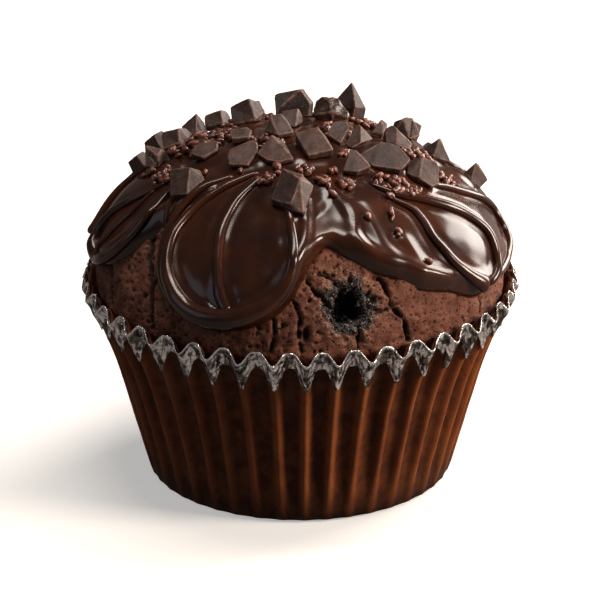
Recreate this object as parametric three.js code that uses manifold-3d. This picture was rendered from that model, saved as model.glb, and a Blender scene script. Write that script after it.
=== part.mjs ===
// A chocolate cupcake: a domed cake baked in a pleated paper cup with a silver foil rim, under
// a poured chocolate glaze with drizzled strands, chopped chocolate and crumbs.
// Millimetres and degrees, +Z up, origin at the middle of the cup's flat base.
// Azimuth 0 is the front (-Y) and grows towards +X. Polar angles run from the top of the dome
// (0) to its widest ring (90).
import * as THREE from 'three';
import { ConvexGeometry } from 'three/addons/geometries/ConvexGeometry.js';
import { mergeVertices } from 'three/addons/utils/BufferGeometryUtils.js';
import Module from 'manifold-3d';

const wasm = await Module();
wasm.setup();

// Driving dimensions.
const gap = 0.3; // clearance between pieces that lie on each other
const baseRadius = 25.6; // cup, over the pleats' crests at the base
const baseCorner = 1; // rounding from the base into the wall
const wallSlope = 0.275; // radius gained per height
const flareHeight = 18; // above this height the wall curves outwards
const flareCurve = 0.0085; // how fast it curves
const rimHeight = 34.5; // top edge of the cup in the valleys of its pleats
const rimDip = 2.1; // how much lower that edge is on the crests
const pleatCount = 42;
const pleatTurn = 1.4; // azimuth of one crest
const pleatDepthBase = 0.9;
const pleatDepthRim = 1.95;
const paperWall = 0.4;
const foilWall = 0.3;
const foilValleyHeight = 3; // height of the foil band in a valley
const foilCrestHeight = 4.8; // and down to its point on a crest
const shoulderDrop = 1.5; // the dome's widest ring, below the rim
const domeHeight = 23.4; // cake, from that ring to the top
const glazeWall = 1.1;
const rimClearance = 6; // polar angle that the glaze stays above the widest ring
const strandRadius = 0.8;
const crumbRadius = 0.95;
const burstAzimuth = 14; // the hole that burst open in the crust
const burstPolar = 68;
const burstRadius = 4;
const burstDepth = 3.2;

// Sizes that follow from them.
const domeBase = rimHeight - shoulderDrop;
const radians = THREE.MathUtils.degToRad;

// Cup: radius over the crests, pleat depth, and the wall's radius at any azimuth and height.
function crestRadius(height) {
  const flare = Math.max(0, height - flareHeight);
  return baseRadius + wallSlope * height + flareCurve * flare * flare;
}

function pleatDepth(height) {
  return THREE.MathUtils.lerp(pleatDepthBase, pleatDepthRim, height / rimHeight);
}

function crestShare(azimuth) {
  return (1 + Math.cos(pleatCount * (azimuth - radians(pleatTurn)))) / 2;
}

function cupRadius(azimuth, height) {
  return crestRadius(height) - pleatDepth(height) * (1 - crestShare(azimuth));
}

const valleyInside = (height) => crestRadius(height) - pleatDepth(height) - paperWall;
const domeRadius = valleyInside(domeBase) - gap;
const glazeInside = { radius: domeRadius + gap, height: domeHeight + gap };
const glazeOutside = { radius: glazeInside.radius + glazeWall, height: glazeInside.height + glazeWall };

// Lathe about +Z whose azimuth 0 is at -Y. The profile is a list of [radius, height].
function lathe(profile, segments, turn = 0) {
  const points = profile.map(([radius, height]) => new THREE.Vector2(radius, height));
  const geometry = new THREE.LatheGeometry(points, segments, radians(turn), 2 * Math.PI);
  return geometry.rotateX(Math.PI / 2);
}

// Moves every vertex of a lathe by a formula of its azimuth, radius and height.
function reshape(geometry, formula) {
  const positions = geometry.attributes.position;
  for (let i = 0; i < positions.count; i += 1) {
    const [x, y, z] = [positions.getX(i), positions.getY(i), positions.getZ(i)];
    const azimuth = Math.atan2(x, -y);
    const [radius, height] = formula(azimuth, Math.hypot(x, y), z);
    positions.setXYZ(i, radius * Math.sin(azimuth), -radius * Math.cos(azimuth), height);
  }
  return geometry;
}

// A geometry as one closed solid, with its shared vertices merged, and back.
function toSolid(geometry) {
  const bare = geometry.clone();
  bare.deleteAttribute('normal');
  bare.deleteAttribute('uv');
  const merged = mergeVertices(bare, 1e-4);
  const corners = merged.index ? merged.index.array : merged.attributes.position.array.map((_, i) => i);
  const triangles = [];
  for (let i = 0; i < corners.length; i += 3) {
    const [a, b, c] = [corners[i], corners[i + 1], corners[i + 2]];
    if (a !== b && b !== c && c !== a) triangles.push(a, b, c);
  }
  return new wasm.Manifold(new wasm.Mesh({
    numProp: 3,
    vertProperties: merged.attributes.position.array,
    triVerts: new Uint32Array(triangles),
  }));
}

function toGeometry(solid) {
  const { vertProperties, triVerts } = solid.getMesh();
  const geometry = new THREE.BufferGeometry();
  geometry.setAttribute('position', new THREE.BufferAttribute(vertProperties, 3));
  geometry.setIndex(new THREE.BufferAttribute(triVerts, 1));
  return geometry;
}

// The largest separate body of a solid, without the slivers that a cut leaves.
function largestBody(solid) {
  return solid.decompose().sort((a, b) => b.volume() - a.volume())[0];
}

// Places on the topping's outside surface.
function surfacePoint(azimuth, polar, lift = 0) {
  const [a, p] = [radians(azimuth), radians(polar)];
  const point = new THREE.Vector3(
    glazeOutside.radius * Math.sin(p) * Math.sin(a),
    -glazeOutside.radius * Math.sin(p) * Math.cos(a),
    domeBase + glazeOutside.height * Math.cos(p),
  );
  return point.addScaledVector(surfaceNormal(azimuth, polar), lift);
}

function surfaceNormal(azimuth, polar) {
  const [a, p] = [radians(azimuth), radians(polar)];
  return new THREE.Vector3(
    Math.sin(p) * Math.sin(a) / glazeOutside.radius,
    -Math.sin(p) * Math.cos(a) / glazeOutside.radius,
    Math.cos(p) / glazeOutside.height,
  ).normalize();
}

// The turn that stands an upright piece square to the surface.
function layOnSurface(azimuth, polar) {
  return new THREE.Quaternion().setFromUnitVectors(new THREE.Vector3(0, 0, 1), surfaceNormal(azimuth, polar));
}

// Paper cup: a pleated wall and a flat floor.
function bakingCup() {
  const levels = [baseCorner, 9, 18, 25, 30, rimHeight];
  const profile = [
    [0, 0],
    [baseRadius - baseCorner, 0],
    ...levels.map((height) => [crestRadius(height), height]),
    ...levels.toReversed().map((height) => [crestRadius(height) - paperWall, height]),
    [baseRadius - baseCorner - paperWall, paperWall],
    [0, paperWall],
  ];
  const geometry = lathe(profile, 2 * pleatCount, pleatTurn);
  return reshape(geometry, (azimuth, radius, height) => {
    if (height <= paperWall) {
      const fold = radius > baseRadius / 2 ? pleatDepthBase * (1 - crestShare(azimuth)) : 0;
      return [radius - fold, height];
    }
    const offset = radius - crestRadius(height);
    const lowered = height - rimShift(azimuth, height);
    return [cupRadius(azimuth, lowered) + offset, lowered];
  });
}

// How far the wall's upper part dips on the crests.
function rimShift(azimuth, height) {
  const share = THREE.MathUtils.smoothstep(height, flareHeight, rimHeight);
  return rimDip * crestShare(azimuth) * share;
}

// Foil band: it follows the paper's pleats outside and ends in a point on each crest.
function foilRim() {
  const innerOffset = gap;
  const outerOffset = gap + foilWall;
  const rows = 3;
  const shares = Array.from({ length: rows + 1 }, (_, i) => i / rows);
  const profile = [
    ...shares.map((share) => [outerOffset, share]),
    ...shares.map((share) => [innerOffset, 1 - share]),
  ];
  profile.push(profile[0]);
  const carrier = 10; // keeps the flat band off the axis until it is wrapped
  const flat = profile.map(([offset, share]) => [carrier + offset, share]);
  return reshape(lathe(flat, 2 * pleatCount, pleatTurn), (azimuth, radius, share) => {
    const crest = crestShare(azimuth);
    const top = rimHeight - rimDip * crest;
    const band = THREE.MathUtils.lerp(foilValleyHeight, foilCrestHeight, crest);
    const height = top - band * (1 - share);
    return [cupRadius(azimuth, height) + radius - carrier, height];
  });
}

// Cake: one baked solid that fills the cup, domed above it, with a burst hole in its crust.
function cake() {
  const floor = paperWall + gap;
  const side = (height) => [valleyInside(height) - gap, height];
  const domeSteps = 9;
  const dome = Array.from({ length: domeSteps + 1 }, (_, i) => {
    const angle = (Math.PI / 2) * (i / domeSteps);
    return [domeRadius * Math.cos(angle), domeBase + domeHeight * Math.sin(angle)];
  });
  dome[domeSteps][0] = 0;
  const profile = [
    [0, floor],
    [valleyInside(floor) - gap - baseCorner, floor],
    side(floor + baseCorner), side(9), side(18), side(26),
    ...dome,
  ];
  const [a, p] = [radians(burstAzimuth), radians(burstPolar)];
  const centre = new THREE.Vector3(
    domeRadius * Math.sin(p) * Math.sin(a),
    -domeRadius * Math.sin(p) * Math.cos(a),
    domeBase + domeHeight * Math.cos(p),
  );
  const here = new THREE.Vector3();
  return reshape(lathe(profile, 60, burstAzimuth), (azimuth, radius, height) => {
    here.set(radius * Math.sin(azimuth), -radius * Math.cos(azimuth), height);
    const near = Math.max(0, 1 - here.distanceTo(centre) / burstRadius);
    return [radius - burstDepth * near, height];
  });
}

// Where the glaze ends: polar angles of its lobes and notches, by azimuth all round.
const glazeEdge = [
  [-180, 61], [-166, 70], [-152, 79], [-138, 76], [-127, 64], [-120, 58], [-112, 66], [-103, 77],
  [-92, 80], [-81, 78], [-72, 75], [-65, 67], [-60, 58], [-55, 51], [-50, 59], [-45, 68], [-40, 74],
  [-34, 79], [-26, 82], [-16, 80], [-8, 75], [-2, 67], [3, 56], [9, 49], [15, 53], [22, 59],
  [30, 64], [37, 70], [44, 73], [51, 77], [58, 81], [72, 81], [82, 80], [92, 80], [104, 75],
  [114, 66], [122, 62], [131, 70], [142, 79], [154, 80], [166, 70], [180, 61],
];

function glazeEdgeAt(azimuth) {
  const degrees = THREE.MathUtils.radToDeg(azimuth);
  const next = Math.max(1, glazeEdge.findIndex(([a]) => a >= degrees));
  const [[a0, p0], [a1, p1]] = [glazeEdge[next - 1], glazeEdge[next]];
  const polar = THREE.MathUtils.lerp(p0, p1, (degrees - a0) / (a1 - a0));
  return radians(Math.min(polar, 90 - rimClearance));
}

// Glaze: a shell on the dome. Its lathe profile holds the share of the way from the top to the
// edge as the radius, and the share of the shell's thickness as the height.
function glaze() {
  const rows = 8;
  const shares = Array.from({ length: rows + 1 }, (_, i) => i / rows);
  const profile = [
    ...shares.map((share) => [share, 0]),
    ...shares.map((share) => [1 - share, 1]),
  ];
  return reshape(lathe(profile, 72), (azimuth, share, side) => {
    const polar = share * glazeEdgeAt(azimuth);
    const radius = THREE.MathUtils.lerp(glazeInside.radius, glazeOutside.radius, side);
    const height = THREE.MathUtils.lerp(glazeInside.height, glazeOutside.height, side);
    return [radius * Math.sin(polar), domeBase + height * Math.cos(polar)];
  });
}

// Drizzled strands, by azimuth and polar angle. Strands of one node have run into each other.
const drizzles = {
  drizzle_right_front: [
    [[44, 37], [49, 43], [48, 53], [50, 64], [56, 74]],
    [[56, 41], [64, 48], [71, 56], [73, 66], [66, 76], [56, 74]],
  ],
  drizzle_right: [
    [[82, 47], [88, 54], [96, 61], [100, 68], [95, 75], [84, 77]],
  ],
  drizzle_left_front: [
    [[-3, 44], [-2, 54], [-4, 63], [-10, 72], [-20, 77], [-30, 75], [-39, 67], [-45, 56], [-48, 45],
      [-46, 35], [-37, 27], [-26, 25]],
    [[-26, 25], [-30, 36], [-29, 47], [-25, 60], [-21, 70], [-20, 77]],
  ],
  drizzle_left: [
    [[-66, 44], [-63, 52], [-65, 63], [-71, 72], [-81, 75], [-84, 67], [-81, 56], [-76, 46]],
  ],
  drizzle_back_left: [
    [[-112, 46], [-124, 54], [-138, 66], [-150, 74], [-161, 66], [-160, 54]],
  ],
  drizzle_back: [
    [[176, 52], [168, 60], [156, 70], [145, 75], [136, 68], [138, 56]],
  ],
};

function strandSolid(places, grow = 0) {
  const lift = gap + strandRadius;
  const points = places.map(([azimuth, polar]) => surfacePoint(azimuth, polar, lift));
  const route = new THREE.CatmullRomCurve3(points);
  const section = new THREE.Shape();
  section.absarc(0, 0, strandRadius + grow, 0, 2 * Math.PI);
  const geometry = new THREE.ExtrudeGeometry(section, {
    extrudePath: route,
    steps: 4 * (places.length - 1),
    curveSegments: 3,
  });
  return toSolid(geometry);
}

function drizzleSolid(strands, grow = 0) {
  return strands.map((places) => strandSolid(places, grow)).reduce((all, strand) => all.add(strand));
}

// Chopped chocolate. A plain chunk gives its place, its width, depth and height, how its top is
// narrowed and shifted, its turn about the upright, and how far it is tipped forwards and right.
// One that broke unevenly gives its upper corners from its place: [across, up, forwards], in a
// frame that leans back with the front of the dome.
const chunks = [
  { at: [-4, 31], corners: [[-1.6, 4.4, -1.6], [1.8, 3, 0.6], [3.5, 1.5, 0.4], [-3.4, -0.8, 1.8],
    [-0.2, -1.6, 4.2], [1.4, 2.5, 2.2], [1.9, -3.1, 4.1], [0.1, -2.7, 4], [0.9, 3.6, -1]] },
  { at: [-24, 15], corners: [[0, 3.3, -1], [2.8, -0.3, 1.8], [0.4, -0.9, 2.6], [-1.6, -0.5, 2],
    [-3.3, 0.6, 0.2], [-0.9, 3.8, -2.4], [1.2, 2.6, -2.6]] },
  { at: [-58, 37], corners: [[-2.8, 3, -1.2], [0.5, 3.3, 0.6], [2.1, 2.8, -0.6], [2.8, 1.4, 0.2],
    [-2.7, -1.3, 1.6], [0.1, -1.1, 3], [-0.8, 3.4, -1.8]] },
  { at: [20, 10], corners: [[0.7, 3.6, -1.2], [-3, 2.6, -0.6], [-0.8, -1.3, 3.6], [3.3, -0.2, 2.6],
    [2.2, 2, -2.4]] },
  { at: [40, 22], corners: [[-0.5, 2.9, -0.4], [0.3, 2.8, -0.4], [2.9, 0, 1.4], [0.8, -0.9, 2.6],
    [-1.8, -0.8, 2.4], [1.6, 1.6, -1.6]] },
  { at: [63, 26], corners: [[-0.9, 3.5, 0], [0.6, 3.5, -0.3], [2.2, 2.9, -0.8], [4.1, 0.7, 0],
    [2.6, -1, 2], [-2.1, -0.4, 2.6], [-4.4, 1.3, 0.9], [-2.6, 3.4, -1.4]] },
  { at: [70, 37], corners: [[-0.3, 3.7, -0.4], [2.2, 2.7, -1], [2.6, 1.6, -0.6], [2.4, -0.9, 0.8],
    [1.2, -1.3, 2], [-0.9, 0, 2.6], [-2.6, 2.9, -0.8], [-2.9, 0.9, 1.6]] },
  { at: [-50, 20], corners: [[-2.5, 0.9, 0.6], [-2.1, 1.7, -0.4], [0.4, 3, -1.2], [1.6, 3.4, -1.6],
    [2.4, 2.9, -1.4], [2.6, 1.2, 0.4], [1, -1, 2.4], [-2.2, -0.9, 1.8]] },
  { at: [-96, 5], corners: [[-1.8, 3.1, -0.6], [-0.1, 3.5, -0.8], [2.1, 0.3, 1.2], [-0.5, -0.3, 2.4],
    [-2.7, 0.6, 0.6], [1, 2.4, -2]] },
  { at: [-173, 9], corners: [[-2.5, 2.2, -0.6], [0.5, 2.7, -0.4], [1.2, 1.7, -1], [0.8, 0.8, -0.2],
    [-0.1, -1.1, 2], [-2.2, 1, 0.6]] },
  { at: [68, 9], corners: [[-0.1, 2.6, -0.4], [0.7, 3.2, -1], [2.5, 3.1, -1], [3, 2.2, -0.2],
    [1.7, 0, 1.8], [-0.8, 0.8, 0.8], [1.5, -0.6, 2.2]] },
  { at: [80, 17], corners: [[-0.8, 3.4, -0.8], [-0.3, 2.9, -0.2], [-0.3, 0.1, 2.2], [-3.4, 0.5, 0.6],
    [-1.9, -0.8, 2.8], [1.6, 0.9, -0.4]] },
  { at: [158, 22], corners: [[-0.4, 3.1, 0.2], [-2.8, 0.6, 1.4], [3, 0.2, 1.4], [3.2, 0.8, 0.2],
    [1.2, 3.5, -1], [-1.4, 3.6, -1.2], [-2.4, 2.9, -0.8], [0.5, 0.9, 2.2]] },
  { at: [-143, 25], corners: [[-2.6, 2.6, -0.8], [0.5, 4.1, 0.2], [2.2, 3.4, -1.2], [3.3, 2, -1.4],
    [2.1, 0, 0.6], [1.7, 0.4, 1.4], [-2.3, -0.4, 0.8]] },
  { at: [-176, 28], corners: [[-3.2, 3.7, -0.4], [1.3, 4.5, 0.2], [2.9, 2.1, 0.4], [-2.9, 0.7, 1.2],
    [1.8, 4.6, -1.6], [3.5, 2.3, -1.6]] },
  { at: [153, 30], corners: [[0.6, 6.6, 0], [-3.4, 2, -0.4], [1.1, 2.2, 1.8], [3.1, 1.9, -0.6],
    [-0.5, 2, -2.4]] },
  { at: [95, 26], corners: [[-1.6, 2.9, -0.6], [-0.5, 3.5, -1], [0.2, 2.8, 0.2], [0.3, 0, 1.8],
    [2.4, -0.7, 1.2], [-1.5, 0.6, 1.2], [2.9, 0.4, -0.4]] },
  { at: [110, 23], corners: [[-0.6, 1.6, 0.2], [0.3, 2.8, -0.6], [1.4, 1.9, -0.8], [0.6, 0.2, 1],
    [-1.4, 0.4, 0.8]] },
  { at: [-78, 27], corners: [[-2.2, 0.6, 0.4], [-0.8, 2.4, -1.2], [2.5, 2.7, -1.4], [2.4, 1.2, 0.2],
    [0, -0.2, 1.6]] },
  { at: [-87, 15], corners: [[-2.4, 1.8, -0.6], [0.5, 2.2, -0.8], [1.4, 1.6, -0.6], [1, 0.4, 1],
    [-2, 0.2, 1.2]] },
  { at: [-96, 41], corners: [[-2.3, 3.1, -0.4], [0.7, 2.5, -0.2], [0, 1.2, 1.2], [-2.2, -0.4, 1],
    [0.4, -0.6, 1.6], [-0.8, 2.6, -2]] },
  { at: [-107, 36], corners: [[-2.9, 1.9, -0.6], [-2.6, 2.7, -0.8], [0, 3.3, 0.4], [1.2, 3.4, -1.2],
    [2.5, 2.2, -1.4], [0.3, 0.8, 1.6], [-2.6, -0.1, 1.2], [2, 1.2, 0.2]] },
  { at: [-105, 48.5], size: [3.4, 3.4, 3.2], top: [0.7, 0.7, 0, 0], turn: 60, tip: [-4, 0] },
  { at: [-129, 38], corners: [[-2.7, 1.4, 0], [-0.2, 3.7, 0], [1.1, 2.2, -0.8], [-0.2, -0.2, 1.8],
    [-1.8, 0.2, 1.2], [0.8, 0.8, 0.8]] },
  { at: [-141, 38], corners: [[-2.3, 2, -0.4], [-1.9, 2.4, -0.8], [0.6, 3.1, 0.4], [1.4, 3.1, -0.8],
    [2.1, 2.3, -1.2], [1, 0.9, 1.4], [-2.1, 0.2, 1], [2, 0.6, -0.4]] },
  { at: [127, 38], corners: [[-1.9, 2.5, -0.2], [-0.4, 3, 0.8], [1.3, 3.2, -0.8], [2.6, 0.2, 0.2],
    [1.9, -0.9, 0.2], [0.6, -0.6, 1.4], [-1.9, 0.6, 0.6]] },
  { at: [102, 41], corners: [[-2.3, 1.9, -0.4], [0.1, 3.5, 0], [0.5, 3.2, -0.8], [2, -0.6, 0.4],
    [-1, 0.3, 1.6], [1, 1.6, -1.6]] },
  { at: [101, 53], corners: [[-1.3, 0.8, -0.2], [1, 2.8, 0], [1.5, 2.6, -1], [3.1, -0.1, 0.2],
    [1.7, -1.4, 0.8], [0.1, -0.3, 1.4]] },
  { at: [-160, 42], size: [4.8, 4.6, 4.4], top: [0.7, 0.7, 0, 0], turn: 20, tip: [0, 0] },
  { at: [-179, 42], size: [5, 4.6, 4.6], top: [0.3, 0.6, 0, 0], turn: 60, tip: [0, 0] },
  { at: [163, 45], size: [4.6, 4.8, 4.4], top: [0.8, 0.8, 0, 0], turn: 35, tip: [-6, 0] },
  { at: [141, 49], size: [5, 4.4, 4.6], top: [0.6, 0.5, 0.1, 0], turn: 10, tip: [0, 5] },
  { at: [-126, 52], size: [4.6, 4.6, 4.4], top: [0.5, 0.7, 0, 0], turn: 50, tip: [0, 0] },
  { at: [-144, 53], size: [4.8, 4.4, 4.6], top: [0.15, 0.15, 0, 0], turn: 15, tip: [0, 0] },
  { at: [-170, 56], size: [4.6, 4.8, 4.2], top: [0.8, 0.7, 0, 0], turn: 70, tip: [-5, 0] },
  { at: [138, 64], size: [4.4, 4.6, 4], top: [0.7, 0.8, 0, 0], turn: 55, tip: [0, 6] },
];
const chunkSink = 0.9; // how deep a chunk's base corners lie in the glaze
const chunkLean = 22.5; // how far the frame of an uneven chunk's corners leans back
const chunkFoot = 0.92; // its foot's share of its spread above

function plainCorners({ size: [width, depth, height], top }) {
  const [narrowX, narrowY, shiftX, shiftY] = top;
  const corners = [];
  for (const sx of [-0.5, 0.5]) {
    for (const sy of [-0.5, 0.5]) {
      corners.push([sx * width, sy * depth, -chunkSink]);
      corners.push([(sx * narrowX + shiftX) * width, (sy * narrowY + shiftY) * depth, height - chunkSink]);
    }
  }
  return corners;
}

function plainChunk(chunk) {
  const { at: [azimuth, polar], turn, tip } = chunk;
  const lay = layOnSurface(azimuth, polar);
  const spin = new THREE.Quaternion().setFromAxisAngle(new THREE.Vector3(0, 0, 1), radians(turn));
  const lean = new THREE.Quaternion().setFromEuler(new THREE.Euler(radians(tip[0]), radians(tip[1]), 0));
  const pose = lean.multiply(lay).multiply(spin);
  return plainCorners(chunk).map((corner) => new THREE.Vector3(...corner).applyQuaternion(pose));
}

// Every upper corner of an uneven chunk also has one below it, sunk in the glaze.
function unevenChunk({ at: [azimuth, polar], corners }) {
  const normal = surfaceNormal(azimuth, polar);
  const lean = new THREE.Quaternion().setFromEuler(new THREE.Euler(-radians(chunkLean), 0, 0));
  return corners.flatMap(([across, up, forwards]) => {
    const corner = new THREE.Vector3(across, -forwards, up).applyQuaternion(lean);
    const foot = corner.clone().addScaledVector(normal, -corner.dot(normal));
    return [corner, foot.multiplyScalar(chunkFoot).addScaledVector(normal, -chunkSink)];
  });
}

function chunkSolid(chunk, grow = 0) {
  const corners = chunk.corners ? unevenChunk(chunk) : plainChunk(chunk);
  const box = new THREE.Box3().setFromPoints(corners);
  const middle = box.getCenter(new THREE.Vector3());
  const growth = 1 + 2 * grow / Math.min(...box.getSize(new THREE.Vector3()).toArray());
  const seat = surfacePoint(...chunk.at, gap);
  for (const corner of corners) corner.sub(middle).multiplyScalar(growth).add(middle).add(seat);
  return toSolid(new ConvexGeometry(corners));
}

// Heaps of crumbs that have stuck together: their place, how many, and the turn of the heap.
const crumbHeaps = [
  { at: [-80, 40], count: 7, turn: 0 },
  { at: [-106, 24], count: 8, turn: 40 },
  { at: [-48, 10], count: 6, turn: 80 },
  { at: [112, 7], count: 7, turn: 10 },
  { at: [53, 35], count: 8, turn: 60 },
  { at: [2, 21], count: 5, turn: 20 },
  { at: [84, 44], count: 5, turn: 50 },
  { at: [-160, 32], count: 7, turn: 30 },
];
const crumbPacking = 137.5; // angle from one crumb of a heap to the next

function crumbSolid({ at: [azimuth, polar], count, turn }) {
  const lay = layOnSurface(azimuth, polar);
  const seat = surfacePoint(azimuth, polar, gap + crumbRadius / 2);
  const crumbs = Array.from({ length: count }, (_, i) => {
    const reach = 1.1 * crumbRadius * Math.sqrt(i);
    const angle = radians(turn + crumbPacking * i);
    const crumb = new THREE.IcosahedronGeometry(crumbRadius, 0).scale(1.1, 0.95, 0.85).rotateZ(i);
    crumb.translate(reach * Math.cos(angle), reach * Math.sin(angle), 0);
    return toSolid(crumb.applyQuaternion(lay).translate(seat.x, seat.y, seat.z));
  });
  return crumbs.reduce((all, crumb) => all.add(crumb));
}

// The glazed dome with its clearance, which everything that lies on it is trimmed to.
function toppingSeat() {
  const seat = new THREE.IcosahedronGeometry(1, 7);
  seat.scale(glazeOutside.radius + gap, glazeOutside.radius + gap, glazeOutside.height + gap);
  return toSolid(seat.translate(0, 0, domeBase));
}

const group = new THREE.Group();

function addPiece(name, geometry, color, roughness, metalness = 0) {
  const material = new THREE.MeshStandardMaterial({ color, roughness, metalness });
  const mesh = new THREE.Mesh(geometry, material);
  mesh.name = name;
  group.add(mesh);
}

addPiece('baking_cup', bakingCup(), 0x4a2616, 0.6);
addPiece('foil_rim', foilRim(), 0x9a9590, 0.3, 1);
addPiece('cake', cake(), 0x4b2a20, 0.9);
addPiece('glaze', glaze(), 0x2c150d, 0.12);

const seat = toppingSeat();
const taken = []; // what is already on the dome, grown by the clearance
for (const [name, strands] of Object.entries(drizzles)) {
  addPiece(name, toGeometry(drizzleSolid(strands)), 0x30170e, 0.12);
  taken.push(drizzleSolid(strands, gap));
}

const clear = (solid) => taken.reduce((rest, other) => rest.subtract(other), solid.subtract(seat));
chunks.forEach((chunk, i) => {
  const solid = largestBody(clear(chunkSolid(chunk)));
  addPiece(`chunk_${String(i + 1).padStart(2, '0')}`, toGeometry(solid), 0x3b221b, 0.5);
  taken.push(chunkSolid(chunk, gap));
});
crumbHeaps.forEach((heap, i) => {
  const solid = largestBody(clear(crumbSolid(heap)));
  addPiece(`crumbs_${i + 1}`, toGeometry(solid), 0x5a2e1f, 0.35);
});

export default group;
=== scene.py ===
import math
import random

import bmesh
import bpy
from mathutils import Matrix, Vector, kdtree, noise


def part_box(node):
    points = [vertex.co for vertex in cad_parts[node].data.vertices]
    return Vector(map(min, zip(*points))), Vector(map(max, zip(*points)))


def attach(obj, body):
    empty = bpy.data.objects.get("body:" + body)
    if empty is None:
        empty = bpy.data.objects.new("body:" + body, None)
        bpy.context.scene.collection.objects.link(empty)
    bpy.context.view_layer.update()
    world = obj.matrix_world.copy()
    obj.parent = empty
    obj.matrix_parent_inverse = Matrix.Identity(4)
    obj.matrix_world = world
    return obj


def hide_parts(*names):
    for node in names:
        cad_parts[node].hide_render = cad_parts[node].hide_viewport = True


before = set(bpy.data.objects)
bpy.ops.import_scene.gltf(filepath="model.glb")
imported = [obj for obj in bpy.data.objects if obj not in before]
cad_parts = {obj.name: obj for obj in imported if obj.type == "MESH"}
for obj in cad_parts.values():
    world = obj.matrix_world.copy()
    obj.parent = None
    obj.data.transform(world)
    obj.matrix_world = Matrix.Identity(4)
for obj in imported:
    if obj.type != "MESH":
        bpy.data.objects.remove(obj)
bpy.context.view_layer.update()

scene = bpy.context.scene
mm = 0.001  # lengths are in millimetres and angles in degrees, unless a note says otherwise

# Azimuth 0 is the front (-Y) and grows towards +X. Polar 0 is the dome's top, 90 its widest ring.
dome = {
    "radius": 33.98,
    "height": 23.4,
    "base": 33.0,  # height of its widest ring
    "sideArc": 27.0,  # length of one radian of polar angle, low on its side
}


def smooth(low, high, value):
    share = min(1.0, max(0.0, (value - low) / (high - low)))
    return share * share * (3 - 2 * share)


def between(a, b, share):
    return a + (b - a) * share


def bell(distance, width):
    return math.exp(-(distance / width) ** 2)


def grain(point, size, seed=0.0):  # smooth noise, -1 to 1, with blobs of that size
    return noise.noise(point / size + Vector((seed, -seed, seed)))


def angleGap(a, b):
    return (a - b + 180) % 360 - 180


def domeNormal(azimuth, polar):
    a, p = math.radians(azimuth), math.radians(polar)
    around, up = math.sin(p) / dome["radius"], math.cos(p) / dome["height"]
    return Vector((around * math.sin(a), -around * math.cos(a), up)).normalized()


def domePoint(azimuth, polar, lift=0.0):
    a, p = math.radians(azimuth), math.radians(polar)
    around = dome["radius"] * math.sin(p)
    height = dome["base"] + dome["height"] * math.cos(p)
    point = Vector((around * math.sin(a), -around * math.cos(a), height))
    return point + domeNormal(azimuth, polar) * lift


def domeAngles(point):
    azimuth = math.degrees(math.atan2(point.x, -point.y))
    around = math.hypot(point.x, point.y) / dome["radius"]
    return azimuth, math.degrees(math.atan2(around, (point.z - dome["base"]) / dome["height"]))


def along(route, share):  # a smooth curve through a route's points, each a tuple of numbers
    last = len(route) - 1
    spot = min(share, 0.999999) * last
    i = int(spot)
    t = spot - i
    ends = route[max(0, i - 1)], route[i], route[i + 1], route[min(last, i + 2)]
    return [
        0.5 * (2 * b + (c - a) * t + (2 * a - 5 * b + 4 * c - d) * t * t + (3 * b - a - 3 * c + d) * t ** 3)
        for a, b, c, d in zip(*ends)
    ]


def spots(routes, lift, step=40):  # a search tree of points along routes on the dome
    points = [domePoint(*along(route, i / step)[:2], lift) for route in routes for i in range(step + 1)]
    tree = kdtree.KDTree(len(points))
    for i, point in enumerate(points):
        tree.insert(point, i)
    tree.balance()
    return tree


# Meshes.

def sheet(mesh, columns, rows, place):  # a grid; place moves each point by its share across and up
    made = bmesh.ops.create_grid(mesh, x_segments=columns, y_segments=rows, size=0.5)
    for vert in made["verts"]:
        place(vert, vert.co.x + 0.5, vert.co.y + 0.5)


def finishPiece(name, mesh, material, replaced, join=0.0002, turned=False):
    bmesh.ops.remove_doubles(mesh, verts=mesh.verts, dist=join)
    if turned:  # its shape may have come out inside out
        bmesh.ops.recalc_face_normals(mesh, faces=mesh.faces)
    bmesh.ops.scale(mesh, vec=Vector((mm, mm, mm)), verts=mesh.verts)
    data = bpy.data.meshes.new(name)
    mesh.to_mesh(data)
    mesh.free()
    data.polygons.foreach_set("use_smooth", [True] * len(data.polygons))
    data.materials.append(material)
    piece = bpy.data.objects.new(name, data)
    scene.collection.objects.link(piece)
    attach(piece, "root")
    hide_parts(replaced)
    print("made", name, len(data.polygons), "faces")
    return piece


def thicken(piece, wall, offset):
    solid = piece.modifiers.new("wall", "SOLIDIFY")
    solid.thickness = wall * mm
    solid.offset = offset


# Materials.

def paint(code):
    channels = [int(code[i:i + 2], 16) / 255 for i in (1, 3, 5)]
    return (*[c / 12.92 if c <= 0.04045 else ((c + 0.055) / 1.055) ** 2.4 for c in channels], 1.0)


class Wire:  # a node socket that takes part in Python expressions
    def __init__(self, finish, socket):
        self.finish, self.socket = finish, socket

    def math(self, operation, *others):
        return self.finish.node("ShaderNodeMath", {"operation": operation}, dict(enumerate((self, *others))))

    def __add__(self, other):
        return self.math("ADD", other)

    def __sub__(self, other):
        return self.math("SUBTRACT", other)

    def __rsub__(self, other):
        return self.math("MULTIPLY_ADD", -1.0, other)

    def __mul__(self, other):
        return self.math("MULTIPLY", other)

    __radd__, __rmul__ = __add__, __mul__

    def over(self, low, high):  # 0 at low and 1 at high, smooth between
        values = {"Value": self, "From Min": low, "From Max": high}
        return self.finish.node("ShaderNodeMapRange", {"interpolation_type": "SMOOTHSTEP"}, values)


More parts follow.
